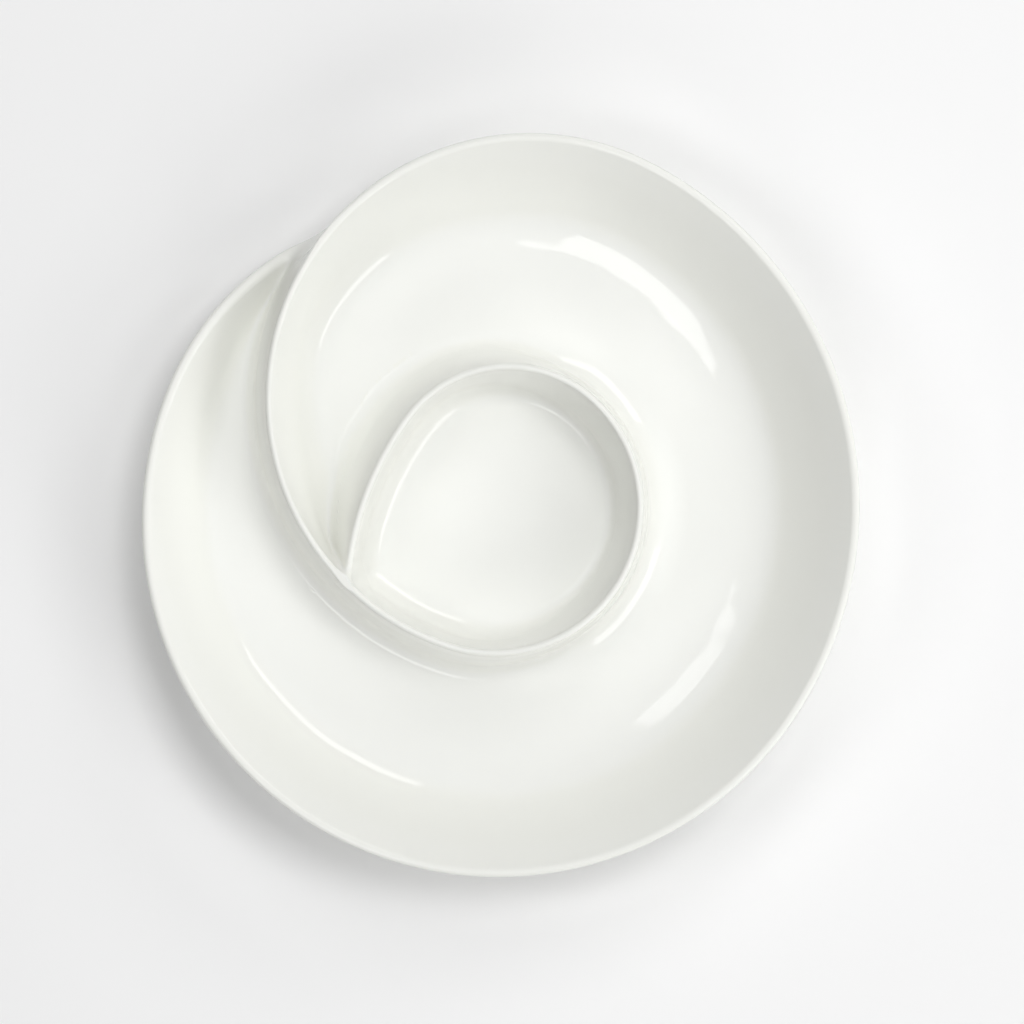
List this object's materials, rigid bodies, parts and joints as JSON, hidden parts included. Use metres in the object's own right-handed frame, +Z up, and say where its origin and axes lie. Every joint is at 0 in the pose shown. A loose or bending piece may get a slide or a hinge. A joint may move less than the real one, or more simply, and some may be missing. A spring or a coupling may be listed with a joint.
{
  "type": "antipasto platter",
  "caption": "White glazed porcelain serving platter whose one rim winds in as a spiral, making a long curved channel round a teardrop dip bowl.",
  "frame": {"origin": "on the table, under the middle of the platter's plan", "axes": "+Z up out of the bowls; +Y is the platter's longer way, towards the top of the picture; +X to the right of the picture"},
  "size_m": [0.3204, 0.3314, 0.046],
  "materials": {
    "glaze": "clear gloss glaze over white porcelain",
    "bare_clay": "wiped and polished bare porcelain"
  },
  "bodies": {
    "root": {"base_slab": "glaze", "outer_wall": "glaze", "divider_wall": "glaze", "dip_bowl_wall": "glaze", "foot_ring": "bare_clay"}
  },
  "joints": []
}
